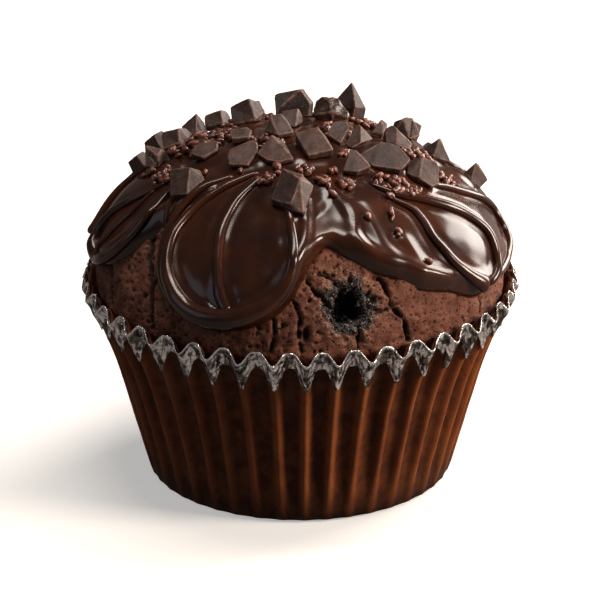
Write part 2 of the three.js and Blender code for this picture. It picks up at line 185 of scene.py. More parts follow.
class Finish:
    def __init__(self, name, **constants):
        self.material = bpy.data.materials.new(name)
        self.material.use_nodes = True
        self.tree = self.material.node_tree
        self.shader = self.tree.nodes["Principled BSDF"]
        for socket, value in constants.items():
            self.shader.inputs[socket.replace("_", " ")].default_value = value
        place = self.node("ShaderNodeTexCoord", output="Object")
        self.place = self.node("ShaderNodeVectorMath", {"operation": "SCALE"}, {0: place, "Scale": 1 / mm})

    def node(self, kind, settings=None, values=None, output=0):
        made = self.tree.nodes.new(kind)
        for key, value in (settings or {}).items():
            setattr(made, key, value)
        for key, value in (values or {}).items():
            if isinstance(value, Wire):
                self.tree.links.new(value.socket, made.inputs[key])
            else:
                made.inputs[key].default_value = value
        return Wire(self, made.outputs[output])

    def stretch(self, x, y, z):
        return self.node("ShaderNodeVectorMath", {"operation": "MULTIPLY"}, {0: self.place, 1: (x, y, z)})

    def cloud(self, size, detail=2.0, rough=0.5, place=None, twist=0.0):
        values = {"Vector": place or self.place, "Scale": 1 / size, "Detail": detail, "Roughness": rough}
        return self.node("ShaderNodeTexNoise", values={**values, "Distortion": twist})

    def cells(self, size, feature="F1"):
        values = {"Vector": self.place, "Scale": 1 / size}
        return self.node("ShaderNodeTexVoronoi", {"feature": feature}, values)

    def mark(self, name):  # a number that the mesh carries
        return self.node("ShaderNodeAttribute", {"attribute_name": name}, output="Fac")

    def blend(self, share, a, b):
        return self.node("ShaderNodeMix", {"data_type": "RGBA"}, {0: share, 6: a, 7: b}, output=2)

    def bump(self, height, strength=1.0):  # height in millimetres
        return self.node("ShaderNodeBump", values={"Height": height, "Distance": mm, "Strength": strength})

    def feed(self, **values):
        for socket, wire in values.items():
            self.tree.links.new(wire.socket, self.shader.inputs[socket.replace("_", " ")])
        return self.material


# Camera, light and floor.

studio = {
    "aim": 29.1,  # height that the camera points at
    "elevation": 22.5,
    "distance": 700.0,
    "lens": 250.0,
    "sensor": 36.0,
    "lightAim": (0, 0, 0.04),  # where the softboxes point, in metres
    "softboxes": {  # place in metres, width and height in metres, watts, colour
        "back": ((0.61, 0.52, 0.33), (0.46, 0.50), 8.0, "#fff4ea"),
        "top": ((0.09, 0.04, 0.88), (0.19, 0.60), 4.2, "#fff3e8"),
        "side": ((0.78, -0.22, 0.36), (0.30, 0.30), 8.0, "#ffeedd"),
        "fill": ((-0.75, -0.35, 0.45), (0.50, 0.50), 0.5, "#d5e2f4"),
    },
    "world": 0.08,
    "worldColour": (1.0, 0.97, 0.94, 1.0),
    "floor": "#f4f2ef",
    "mirroredFloor": "#69625f",  # the floor as shiny pieces show it
    "floorGlow": 0.45,
    "floorHalf": 3.0,  # half its width, in metres
    "floorDrop": 0.0002,  # how far it lies under the cup, in metres
}


def addCamera():
    tilt, distance = math.radians(studio["elevation"]), studio["distance"] * mm
    data = bpy.data.cameras.new("camera")
    data.lens = studio["lens"]
    data.sensor_width = studio["sensor"]
    camera = bpy.data.objects.new("camera", data)
    camera.location = (0, -distance * math.cos(tilt), studio["aim"] * mm + distance * math.sin(tilt))
    camera.rotation_euler = (math.radians(90) - tilt, 0, 0)
    scene.collection.objects.link(camera)
    scene.camera = camera


def addSoftbox(name, place, size, power, colour):
    data = bpy.data.lights.new(name, "AREA")
    data.shape = "RECTANGLE"
    data.size, data.size_y = size
    data.energy = power
    data.color = paint(colour)[:3]
    light = bpy.data.objects.new(name, data)
    light.location = place
    facing = Vector(studio["lightAim"]) - Vector(place)
    light.rotation_euler = facing.to_track_quat("-Z", "Y").to_euler()
    scene.collection.objects.link(light)


def addFloor():
    mesh = bmesh.new()
    bmesh.ops.create_grid(mesh, x_segments=1, y_segments=1, size=studio["floorHalf"])
    data = bpy.data.meshes.new("floor")
    mesh.to_mesh(data)
    mesh.free()
    finish = Finish("pale floor", Roughness=0.9, Emission_Strength=studio["floorGlow"])
    mirrored = finish.node("ShaderNodeLightPath", output="Is Glossy Ray")
    colour = finish.blend(mirrored, paint(studio["floor"]), paint(studio["mirroredFloor"]))
    finish.feed(Base_Color=colour, Emission_Color=colour)
    data.materials.append(finish.material)
    floor = bpy.data.objects.new("floor", data)
    floor.location.z = -studio["floorDrop"]
    floor.visible_diffuse = False  # the cup stays dark towards its foot
    scene.collection.objects.link(floor)


def addStudio():
    addCamera()
    for name, settings in studio["softboxes"].items():
        addSoftbox(name, *settings)
    world = bpy.data.worlds.new("studio")
    world.use_nodes = True
    background = world.node_tree.nodes["Background"]
    background.inputs["Color"].default_value = studio["worldColour"]
    background.inputs["Strength"].default_value = studio["world"]
    scene.world = world
    scene.view_settings.view_transform = "Standard"
    addFloor()
    print("studio ready")


addStudio()


# Baking cup: pleated greaseproof paper with a foil band folded over its rim.

cup = {
    "baseRadius": 25.6,
    "corner": 1.0,
    "slope": 0.275,
    "flareHeight": 18.0,  # the wall curves outwards above this
    "flareCurve": 0.0085,
    "rimHeight": 34.5,
    "rimDip": 2.1,  # a crest's top lies this far below a valley's
    "rimRagged": 0.16,
    "pleats": 42,
    "pleatTurn": 1.4,
    "pleatSharp": 1.7,  # over 1 makes crests narrower than valleys
    "pleatDepthBase": 0.9,
    "pleatDepthRim": 1.95,
    "pleatFade": 11.0,  # pleats reach their depth at this height
    "wander": 0.55,  # how far a pleat strays sideways
    "paperWall": 0.22,
    "paperBelowRim": 0.5,
    "foilGap": 0.1,
    "foilWall": 0.14,
    "foilAboveRim": 0.2,
    "foilValley": 3.4,  # band height in a valley
    "foilCrest": 5.4,  # and down to its point on a crest
    "foilFold": 0.1,  # the folded edge stands out by this
    "columnsPerPleat": 16,
    "paperRows": 46,
    "foilRows": 22,
}
cupColumns = cup["pleats"] * cup["columnsPerPleat"]


def pleatShare(azimuth, height):  # 1 on a crest, 0 in a valley
    a = math.radians(azimuth)
    ring = Vector((math.sin(a) * 3, -math.cos(a) * 3, 0))
    stray = cup["wander"] * noise.noise(ring * 1.7 + Vector((0, 0, height / 60)))
    wave = (1 + math.cos(cup["pleats"] * math.radians(azimuth - cup["pleatTurn"] + stray))) / 2
    return wave ** cup["pleatSharp"]


def crestRadius(height):
    flare = max(0.0, height - cup["flareHeight"])
    return cup["baseRadius"] + cup["slope"] * height + cup["flareCurve"] * flare * flare


def cupRadius(azimuth, height):
    depth = between(cup["pleatDepthBase"], cup["pleatDepthRim"], height / cup["rimHeight"])
    a = math.radians(azimuth)
    ring = Vector((math.sin(a) * 6, -math.cos(a) * 6, height / 40))
    fade = between(0.12, 1.0, smooth(-1.0, cup["pleatFade"], height))
    depth *= (1 + 0.12 * noise.noise(ring * 1.3)) * fade
    return crestRadius(height) - depth * (1 - pleatShare(azimuth, height))


def rimTop(azimuth):
    a = math.radians(azimuth)
    ring = Vector((math.sin(a) * 6, -math.cos(a) * 6, 4.0))
    dip = cup["rimDip"] * pleatShare(azimuth, cup["rimHeight"])
    return cup["rimHeight"] - dip + cup["rimRagged"] * noise.noise(ring)


def ringPoint(azimuth, radius, height):
    a = math.radians(azimuth)
    return Vector((radius * math.sin(a), -radius * math.cos(a), height))


def makePaper():
    mesh = bmesh.new()
    crest = mesh.verts.layers.float.new("crest")
    rise = mesh.verts.layers.float.new("rise")
    baseShares = (0, 0.5, 1)  # the flat base's rows, as shares of its radius
    baseRows = len(baseShares)

    def place(vert, across, up):
        azimuth = 360 * across
        row = round(up * cup["paperRows"])
        foot = cupRadius(azimuth, 0.0) - cup["corner"]
        if row < baseRows:
            radius, height = foot * baseShares[row], 0.0
        else:
            share = (row - baseRows) / (cup["paperRows"] - baseRows)
            height = between(cup["corner"], rimTop(azimuth) - cup["paperBelowRim"], share)
            dents = 0.05 * noise.noise(ringPoint(azimuth, 30, height) / 2.5)
            radius = cupRadius(azimuth, height) + dents
            if row == baseRows:  # the rounded corner
                radius, height = radius - 0.3, 0.3
        vert.co = ringPoint(azimuth, radius, height)
        vert[crest] = pleatShare(azimuth, height)
        vert[rise] = height / cup["rimHeight"]

    sheet(mesh, cupColumns, cup["paperRows"], place)
    piece = finishPiece("bakingCup", mesh, paperFinish(), "baking_cup")
    thicken(piece, cup["paperWall"], -1)


def paperFinish():
    finish = Finish("brown greaseproof paper", Specular_IOR_Level=0.15)
    crest, rise = finish.mark("crest"), finish.mark("rise")
    fibres = finish.cloud(0.5, 5, 0.65, finish.stretch(1, 1, 0.45))
    grease = finish.cloud(3.2, 3, 0.55).over(0.38, 0.66)
    blotch = finish.cloud(9, 2, 0.5).over(0.3, 0.7)
    # painted light and shade: valleys take a darker brown as painted shade and crests a lighter brown as
    # painted light, with grease and blotches varying each
    shadedValley = finish.blend(grease, paint("#4c2717"), paint("#6b3a20"))
    litRidge = finish.blend(blotch, paint("#7f4327"), paint("#9c5830"))
    colour = finish.blend((crest * 0.9 + (fibres - 0.5) * 0.6).over(0.1, 1.0), shadedValley, litRidge)
    # painted shade: the paper darkens towards the cup's foot
    colour = finish.blend(rise.over(0.0, 0.25) * 0.7 + 0.3, paint("#24110b"), colour)
    spots = finish.cloud(0.9, 2, 0.6).over(0.66, 0.74)
    colour = finish.blend(spots * 0.55, colour, paint("#2a140c"))
    height = fibres * 0.05 + finish.cloud(1.6, 3, 0.6) * 0.08
    rough = 0.56 - grease * 0.16 + fibres * 0.1
    return finish.feed(Base_Color=colour, Roughness=rough, Normal=finish.bump(height, 0.8))


def makeFoil():
    mesh = bmesh.new()
    lift = mesh.verts.layers.float.new("lift")
    crest = mesh.verts.layers.float.new("crest")

    def place(vert, across, up):
        azimuth = 360 * across
        share = pleatShare(azimuth, cup["rimHeight"])
        top = rimTop(azimuth) + cup["foilAboveRim"]
        ragged = 0.3 * noise.noise(ringPoint(azimuth, 9, 0))
        ragged += 0.15 * noise.noise(ringPoint(azimuth, 40, 0))
        band = between(cup["foilValley"], cup["foilCrest"], share ** 1.3) + ragged
        height = top - band * (1 - up)
        here = ringPoint(azimuth, 36, height)
        crease = 0.42 * max(0.0, 0.6 - 2.0 * abs(grain(here, 2.6, 3)))
        crease += 0.3 * max(0.0, grain(here, 1.3, 9))
        radius = cupRadius(azimuth, min(height, top - cup["foilAboveRim"])) + cup["foilGap"]
        radius += crease * (1 - 0.6 * up)
        radius += cup["foilFold"] * bell(1 - up, 0.09)
        vert.co = ringPoint(azimuth, radius, height)
        vert[lift] = up
        vert[crest] = share

    sheet(mesh, cupColumns, cup["foilRows"], place)
    piece = finishPiece("foilRim", mesh, foilFinish(), "foil_rim")
    thicken(piece, cup["foilWall"], 1)


def foilFinish():
    finish = Finish("crinkled silver foil", Metallic=0.8)
    upright = finish.stretch(1, 1, 0.13)
    # painted reflections: bright and dark upright streaks in the foil's colour
    paintedReflectionStreaks = finish.cloud(0.95, 1, 0.5, upright, twist=0.4).over(0.45, 0.53)
    # painted reflections: dark patches in the foil's colour
    paintedDarkReflections = finish.cloud(0.8, 1, 0.5, finish.stretch(1, 1, 0.3), twist=1.0).over(0.57, 0.6)
    mottle = finish.cloud(1.5, 3, 0.6, twist=1.2).over(0.44, 0.56)
    specks = finish.cloud(0.8, 2, 0.6).over(0.66, 0.68)
    # painted highlight: the band's folded top edge is painted near white
    top = finish.mark("lift").over(0.88, 0.98)
    colour = finish.blend(paintedReflectionStreaks, paint("#5b5450"), paint("#ffffff"))
    colour = finish.blend(mottle * 0.2, colour, paint("#d9d3cd"))
    colour = finish.blend(paintedDarkReflections * 0.8, colour, paint("#2f2725"))
    colour = finish.blend(specks * (1 - top) * 0.8, colour, paint("#2a211e"))
    colour = finish.blend(top * 0.9, colour, paint("#ffffff"))
    folds = finish.cells(2.3, "DISTANCE_TO_EDGE").over(0.0, 0.35) * 0.35
    height = folds + finish.cloud(0.8, 1, 0.5, upright) * 0.8 + finish.cloud(1.2, 2, 0.5) * 0.3
    return finish.feed(Base_Color=colour, Roughness=0.2 + mottle * 0.14, Normal=finish.bump(height, 0.9))


makePaper()
makeFoil()


# Cake: a risen, cracked and pitted crust with a moist hole that burst open.

sponge = {
    "columns": 720,
    "wall": [  # share of the radius, and height, from the middle of the base up
        (0.0, 0.7), (0.45, 0.7), (0.97, 0.7), (1.0, 2.0),
        (1.0, 12.0), (1.0, 22.0), (1.0, 28.0), (1.0, 31.0),
    ],
    "paperGap": 0.7,
    "crustRows": 108,
    "topRows": 8,
    "crustFrom": 44.0,  # polar angle that the fine rows start at
    "burst": (14.0, 71.5),  # place of the hole
    "burstRadius": 3.2,
    "burstDepth": 3.4,
    "poreSpacing": 1.15,
    "poreDepth": 0.7,
    "crackReach": 12,  # degrees to each side of a crack's middle that it can touch
    "pitReach": 4,
    "cracks": [  # places, half width, depth
        ([(-62, 48), (-58, 58), (-52, 66), (-47, 76), (-45, 87)], 0.5, 1.3),
        ([(-73, 71), (-69, 77), (-67, 86)], 0.32, 0.9),
        ([(-3, 62), (-2, 68), (0, 74), (-0.5, 79), (0.5, 87)], 0.28, 1.0),
        ([(-7.5, 75), (-7, 80), (-8, 87)], 0.22, 0.8),
        ([(2, 60), (4, 64), (6, 66), (9, 70.5)], 0.35, 0.9),
        ([(25, 62), (27, 68), (27, 73), (30, 78), (31, 87)], 0.34, 1.1),
        ([(16, 73), (16.5, 79), (16, 87)], 0.24, 0.9),
        ([(21, 66), (20, 71), (23, 74), (27, 73)], 0.3, 0.8),
        ([(6, 58), (10, 60), (12, 63)], 0.3, 0.7),
        ([(60, 80), (61, 84), (60, 88)], 0.22, 0.8),
        ([(-38, 80), (-37, 84), (-39, 88)], 0.22, 0.7),
        ([(-104, 76), (-101, 82), (-103, 88)], 0.3, 0.9),
        ([(-126, 62), (-122, 70), (-126, 79), (-123, 88)], 0.4, 1.1),
        ([(117, 63), (121, 71), (118, 79), (121, 88)], 0.4, 1.1),
        ([(-178, 62), (-173, 71), (-176, 80), (-172, 88)], 0.35, 1.0),
        ([(92, 81), (95, 88)], 0.25, 0.8),
        ([(149, 80), (152, 88)], 0.25, 0.8),
    ],
    "pits": [  # place, half width across and up, depth
        ((1.6, 80.5), 0.55, 1.3, 1.5), ((-5, 77), 0.3, 0.5, 0.7), ((-9, 74), 0.35, 0.4, 0.6),
        ((-48, 70), 0.55, 0.9, 1.2), ((-50, 76), 0.4, 0.6, 0.9), ((-62, 70), 0.4, 0.5, 0.8),
        ((-66, 66), 0.3, 0.5, 0.7), ((-56, 62), 0.4, 0.6, 0.9), ((22, 69), 0.5, 0.8, 1.0),
        ((9, 66), 0.5, 0.4, 0.8), ((34, 78), 0.3, 0.3, 0.5), ((-33, 86), 0.4, 0.4, 0.7),
        ((-122, 82), 0.5, 0.7, 0.9), ((112, 74), 0.5, 0.6, 0.9), ((176, 78), 0.5, 0.8, 1.0),
    ],
}


def routeGap(point, places):  # distance from a point to a route on the dome
    best = 99.0
    for start, end in zip(places, places[1:]):
        reach = end - start
        share = min(1.0, max(0.0, (point - start).dot(reach) / reach.length_squared))
        best = min(best, (point - start - reach * share).length)
    return best


def makeSponge():
    mesh = bmesh.new()
    hollow = mesh.verts.layers.float.new("hollow")
    moist = mesh.verts.layers.float.new("moist")
    crumbly = mesh.verts.layers.float.new("crumbly")
    cracks = []
    for places, width, depth in sponge["cracks"]:
        middle = sum(a for a, _ in places) / len(places)
        cracks.append((middle, [domePoint(a, p) for a, p in places], width, depth))
    pits = [(place, domePoint(*place), across, up, depth) for place, across, up, depth in sponge["pits"]]
    burst = domePoint(*sponge["burst"])
    wallRows = len(sponge["wall"])
    rows = wallRows + sponge["crustRows"] + sponge["topRows"]

    def place(vert, across, up):
        azimuth = 360 * across - 180
        row = round(up * rows)
        if row < wallRows:
            share, height = sponge["wall"][row]
            depth = between(cup["pleatDepthBase"], cup["pleatDepthRim"], height / cup["rimHeight"])
            radius = crestRadius(height) - depth - sponge["paperGap"]
            vert.co = ringPoint(azimuth, radius * share, height)
            return
        row -= wallRows
        if row > sponge["crustRows"]:
            polar = sponge["crustFrom"] * (1 - (row - sponge["crustRows"]) / sponge["topRows"])
            vert.co = domePoint(azimuth, polar)
            return
        polar = between(90.0, sponge["crustFrom"], row / sponge["crustRows"])
        here = domePoint(azimuth, polar)
        fade = smooth(90, 84, polar)
        lift = 0.1 + fade * (0.5 * grain(here, 7, 5) + 0.3 * grain(here, 2.6, 7))
        lift += 0.12 * grain(here, 1.1, 11) + 0.06 * grain(here, 0.55, 2)
        cut, rough = 0.0, 0.0
        wobble = 0.45 * grain(here, 1.3, 21) + 0.2 * grain(here, 0.5, 22)
        for middle, places, width, depth in cracks:
            if abs(angleGap(azimuth, middle)) > sponge["crackReach"]:
                continue
            gap = routeGap(here, places) + wobble * 0.7
            uneven = 1.1 + 0.8 * grain(here, 1.6, 53)
            cut = max(cut, depth * bell(max(0.0, gap), 0.9 * width * uneven))
            torn = smooth(0.0, 0.5, grain(here, 2.0, 52))
            lift += 0.25 * bell(gap - 2.2 * width, 1.6 * width) * grain(here, 1.1, 51)
            rough = max(rough, torn * bell(gap - 2.2 * width, 1.4 * width))
        for (a, p), middle, across, up, depth in pits:
            if abs(angleGap(azimuth, a)) < sponge["pitReach"]:
                side = math.radians(angleGap(azimuth, a)) * dome["radius"] / across
                rise = math.radians(polar - p) * dome["sideArc"] / up
                cut = max(cut, depth * math.exp(-(side * side + rise * rise)))
        distance, _ = noise.voronoi(here / sponge["poreSpacing"])
        size = 0.5 + 0.5 * noise.cell(here / sponge["poreSpacing"])
        cut = max(cut, sponge["poreDepth"] * size * smooth(0.34 + 0.16 * size, 0.1, distance[0]))
        reach = here - burst
        reach.z *= 0.7 if reach.z > 0 else 0.95  # torn further upwards
        far = reach.length + 1.0 * grain(here, 1.7, 31) + 0.5 * grain(here, 0.7, 33)
        radius = sponge["burstRadius"]
        hole = smooth(radius - 0.3, radius - 1.7, far)
        moistRing = smooth(radius + 1.9, radius + 0.1, far)
        crater = smooth(radius + 3.6, radius + 0.8, far)
        lift += crater * (0.75 * abs(grain(here, 0.9, 41)) + 0.55 * grain(here, 1.7, 43) - 0.15)
        lift += moistRing * (0.5 * grain(here, 0.6, 47) - 0.55)
        lift -= sponge["burstDepth"] * hole
        vert.co = here + domeNormal(azimuth, polar) * (lift - cut)
        # how deep the crust is cut here; the finish paints this as shade
        vert[hollow] = min(1.0, cut / 0.8)
        vert[moist] = 0.5 * moistRing + 0.5 * hole
        vert[crumbly] = max(rough, crater)

    sheet(mesh, sponge["columns"], rows, place)
    finishPiece("cakeCrust", mesh, spongeFinish(), "cake")


def spongeFinish():
    finish = Finish("chocolate sponge", Specular_IOR_Level=0.3)
    hollow, moist, crumbly = finish.mark("hollow"), finish.mark("moist"), finish.mark("crumbly")
    mottle = finish.cloud(3.2, 4, 0.6)
    fine = finish.cloud(0.3, 4, 0.65)
    dots = finish.cells(0.95).over(0.24, 0.15) * finish.cloud(2.4, 2, 0.5).over(0.36, 0.46)
    pinholes = finish.cells(0.5).over(0.25, 0.13) * finish.cloud(1.3, 2, 0.5).over(0.42, 0.52)
    pits = finish.cells(1.9).over(0.17, 0.1)
    crust = finish.blend(mottle.over(0.3, 0.7), paint("#552c1f"), paint("#80503d"))
    crust = finish.blend(fine.over(0.5, 0.72) * 0.35, crust, paint("#a5745e"))
    frayed = finish.blend(fine.over(0.38, 0.62), paint("#5a3527"), paint("#b08a76"))
    colour = finish.blend(crumbly * finish.cloud(0.8, 3, 0.6).over(0.4, 0.58), crust, frayed)
    # painted shade: cracks, pits and pores darken with their depth
    colour = finish.blend(hollow.over(0.15, 0.8) * 0.88, colour, paint("#1a0c08"))
    # painted shade: pore dots and pinholes are painted dark
    shadedPores = (dots + pinholes * 0.8 + pits).math("MINIMUM", 1.0)
    colour = finish.blend(shadedPores * 0.85, colour, paint("#1e0e09"))
    wetCrumbAndGlints = finish.blend(fine.over(0.45, 0.62), paint("#151011"), paint("#6a5d59"))
    # painted highlights: pale glints in the moist ring's colour
    wetCrumbAndGlints = finish.blend(finish.cloud(0.35, 2, 0.6).over(0.63, 0.67), wetCrumbAndGlints, paint("#d8d0ca"))
    colour = finish.blend(moist.over(0.05, 0.4), colour, wetCrumbAndGlints)
    # painted shade: the burst hole's depths are painted near black
    colour = finish.blend(moist.over(0.6, 0.85), colour, paint("#070303"))
    height = fine * 0.1 + finish.cloud(0.8, 4, 0.6) * 0.17 - shadedPores * 0.3
    height = height + crumbly * finish.cloud(0.5, 4, 0.7) * 0.45 + moist * finish.cells(0.45) * 0.7
    rough = 0.8 - moist.over(0.1, 0.4) * 0.66
    return finish.feed(Base_Color=colour, Roughness=rough, Normal=finish.bump(height, 0.9))


makeSponge()


# Glaze: poured chocolate with a thick rolled edge, and the strands drizzled over it.

glaze = {
    "thickness": 1.75,
    "edgeRound": 3.0,  # the edge rolls over within this
    "bead": 0.35,  # and swells by this behind it
    "notch": 4.0,  # azimuth of the gap between the two front lobes
    "notchWidth": 12.0,
    "sunk": -1.0,  # how deep its edge and its underside lie in the cake
    "columns": 720,
    "rows": 118,
    "undersideRows": 8,
    "rowSpread": 1.45,  # over 1 sets the rows closer together at the edge
    "edge": [  # azimuth and polar angle
        (-180, 61), (-166, 70), (-152, 79), (-138, 76), (-127, 64), (-120, 58), (-112, 66), (-103, 77),
        (-92, 80), (-81, 78), (-72, 75), (-65, 67), (-60, 58), (-55, 51), (-50, 59), (-45, 68),
        (-40, 74), (-34, 79), (-26, 82), (-16, 80), (-8, 75), (-2, 67), (3, 56), (9, 49), (15, 53),
        (22, 59), (30, 64), (37, 70), (44, 73), (51, 77), (58, 81), (72, 81), (82, 80), (92, 80),
        (104, 75), (114, 66), (122, 62), (131, 70), (142, 79), (154, 80), (166, 70), (180, 61),
    ],
    "swells": [  # place, reach across, reach up, height
        ((-26, 68), 14, 9, 0.5), ((-4.5, 50), 8, 13, 1.1), ((5, 58), 9, 12, 0.9),
        ((62, 56), 17, 12, 0.7), ((-90, 56), 14, 12, 0.6), ((100, 56), 14, 12, 0.5),
        ((148, 56), 14, 12, 0.6), ((-150, 56), 14, 12, 0.6),
    ],
    "folds": [  # route, half width, height
        ([(3, 33), (2.5, 40), (1.5, 48), (-1, 56)], 1.0, 0.5),
        ([(13, 24), (19, 32), (21, 40), (20, 48), (23, 55), (29, 62)], 1.5, 0.8),
        ([(26, 36), (27, 43), (28, 51), (31, 58), (37, 64)], 1.6, 0.5),
        ([(37, 52), (38, 58), (41, 64), (46, 70)], 1.5, 0.45),
        ([(-8, 22), (-4, 28), (-1, 34)], 1.1, 0.4),
        ([(-44, 30), (-52, 38), (-56, 46)], 1.0, 0.4),
        ([(130, 40), (132, 52), (138, 64)], 1.6, 0.6),
        ([(165, 36), (158, 50), (152, 64)], 1.6, 0.6),
        ([(-120, 34), (-114, 46), (-106, 60)], 1.6, 0.6),
        ([(-168, 40), (-160, 50), (-152, 64)], 1.5, 0.5),
    ],
}
edgeTurns = [azimuth for azimuth, _ in glaze["edge"]]
edgePolars = [polar for _, polar in glaze["edge"]]
edgeSteps = [after - before for before, after in zip(edgeTurns, edgeTurns[1:])]


def glazeEdge(azimuth):  # a smooth closed curve through the edge's places
    azimuth = angleGap(azimuth, 0)
    count = len(edgeSteps)
    i = max(k for k in range(count) if edgeTurns[k] <= azimuth)
    before, start, end, after = [edgePolars[k % count] for k in (i - 1, i, i + 1, i + 2)]
    span = edgeSteps[i]
    startSlope = (end - before) / (span + edgeSteps[i - 1]) * span
    endSlope = (after - start) / (span + edgeSteps[(i + 1) % count]) * span
    t = (azimuth - edgeTurns[i]) / span
    t2, t3 = t * t, t * t * t
    polar = (2 * t3 - 3 * t2 + 1) * start + (t3 - 2 * t2 + t) * startSlope
    ragged = 0.5 * noise.noise(ringPoint(azimuth, 8, 0))
    return polar + (3 * t2 - 2 * t3) * end + (t3 - t2) * endSlope + ragged


drizzle = {  # each strand's places and half width there, by the node it stands for
    "drizzle_right_front": [
        [(43, 36, 0.35), (46, 39, 0.5), (49, 43, 0.62), (49, 48, 0.6), (48, 54, 0.62), (49, 60, 0.72),
         (51, 66, 0.82), (54, 71, 1.0), (57, 75, 1.35), (58, 76, 1.3)],
        [(41, 29, 0.4), (48, 36, 0.6), (56, 41, 0.75), (64, 48, 0.85), (70, 55, 0.85), (73, 62, 0.85),
         (72, 69, 0.9), (68, 75, 0.8), (63, 78, 0.6)],
    ],
    "drizzle_right": [
        [(66, 38, 0.4), (76, 43, 0.55), (84, 50, 0.65), (92, 58, 0.7), (96, 65, 0.7), (93, 72, 0.7),
         (84, 76, 0.75), (75, 77, 0.7), (68, 77, 0.5)],
    ],
    "drizzle_left_front": [
        [(-10, 33, 0.35), (-5, 38, 0.5), (-3, 45, 0.65), (-2, 54, 0.8), (-4, 63, 1.0), (-10, 71, 1.35),
         (-20, 76, 1.6), (-30, 75, 1.5), (-38, 68, 1.2), (-43, 60, 0.95), (-46, 51, 0.8), (-46, 42, 0.7),
         (-43, 34, 0.65), (-37, 27, 0.6), (-30, 22, 0.45)],
        [(-24, 22, 0.4), (-28, 29, 0.6), (-30, 36, 0.75), (-29.5, 45, 0.8), (-27, 54, 0.8), (-24.5, 62, 0.85),
         (-22, 69, 0.95), (-19, 74, 0.9)],
        [(-44, 26, 0.4), (-49, 34, 0.55), (-51, 42, 0.65), (-50, 51, 0.7), (-47, 60, 0.75), (-41, 69, 0.8),
         (-34, 75, 0.7)],
    ],
    "drizzle_left": [
        [(-70, 34, 0.4), (-66, 43, 0.6), (-63, 52, 0.75), (-65, 62, 0.85), (-71, 71, 1.0), (-79, 75, 1.05),
         (-85, 69, 0.85), (-84, 60, 0.7), (-79, 50, 0.6), (-75, 40, 0.5)],
        [(-76, 44, 0.3), (-74, 54, 0.4), (-76, 64, 0.45), (-78, 72, 0.4)],
        [(-62, 36, 0.3), (-58, 44, 0.45), (-56, 50, 0.5), (-55, 55, 0.5), (-54, 60, 0.35)],
    ],
    "drizzle_back_left": [
        [(-112, 46, 0.5), (-124, 54, 0.75), (-138, 66, 0.9), (-150, 74, 1.2), (-161, 66, 0.9),
         (-160, 54, 0.6)],
        [(-100, 40, 0.4), (-104, 52, 0.6), (-98, 64, 0.8), (-92, 74, 0.95)],
    ],
    "drizzle_back": [
        [(176, 52, 0.5), (168, 60, 0.75), (156, 70, 1.0), (145, 75, 1.2), (136, 68, 0.9), (138, 56, 0.6)],
        [(112, 38, 0.4), (108, 50, 0.6), (112, 62, 0.7), (104, 71, 0.8)],
    ],
}
strand = {
    "steps": 260,  # points along each route that the glaze feels
    "sides": 16,
    "rowsPerPlace": 9,
    "taper": 14,  # each end narrows over one part in this many of its length
    "wide": 1.08,  # its section, as shares of its half width
    "tall": 0.92,
    "lift": 0.25,
}
strandRoutes = [route for routes in drizzle.values() for route in routes]
strandTree = spots(strandRoutes, glaze["thickness"] + 0.4, strand["steps"])
strandWidths = [
    along(route, i / strand["steps"])[2] for route in strandRoutes for i in range(strand["steps"] + 1)
]
foldTrees = [
    (spots([route], glaze["thickness"]), width, height) for route, width, height in glaze["folds"]
]


def nodeAngles(name):  # where a node's middle stands on the dome
    low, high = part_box(name)
    return domeAngles((low + high) / 2 / mm)


def chunkSeat(name):  # the point that a chunk sits on, and half its width
    low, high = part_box(name)
    return domePoint(*nodeAngles(name), glaze["thickness"]), 0.5 * (high - low).xy.length / mm


chunkNames = sorted(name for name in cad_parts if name.startswith("chunk_"))
chunkSeats = [chunkSeat(name) for name in chunkNames]


def glazeLift(azimuth, polar):  # how far the glaze stands off the cake's dome
    edge = glazeEdge(azimuth)
    slope = (glazeEdge(azimuth + 1.5) - glazeEdge(azimuth - 1.5)) / 3
    reach = max(0.0, math.radians(edge - polar)) * dome["sideArc"] / math.sqrt(1 + slope * slope)
    here = domePoint(azimuth, polar, glaze["thickness"])
    body = glaze["thickness"] + 0.22 * grain(here, 9, 3) + 0.08 * grain(here, 3.5, 4)
    for (a, p), across, up, height in glaze["swells"]:
        body += height * math.exp(-(angleGap(azimuth, a) / across) ** 2 - ((polar - p) / up) ** 2)
    for tree, width, height in foldTrees:
        gap = tree.find(here)[2]
        if gap < 4:  # further off, it adds nothing to speak of
            body += height * bell(gap, width)
    _, index, gap = strandTree.find(here)
    width = strandWidths[index]
    body += 0.5 * max(0.0, width - 0.6) * bell(gap, 0.9 + width)
    body -= 0.12 * bell(gap - 1.5 * width - 0.5, 0.8) * smooth(2.5, 5.0, reach)
    for seat, size in chunkSeats:
        gap = (here - seat).length
        if gap < size + 1.2:
            body += 0.4 * smooth(size + 1.0, size - 1.2, gap)
    notch = bell(angleGap(azimuth, glaze["notch"]), glaze["notchWidth"])  # the edge is thinner here
    edgeRound = glaze["edgeRound"] * (1 - 0.55 * notch)
    body += glaze["bead"] * (1 - notch) * bell(reach - edgeRound, 1.3)
    inward = 1 - min(1.0, reach / edgeRound)
    return between(glaze["sunk"], body, math.sqrt(max(0.0, 1 - inward * inward)))


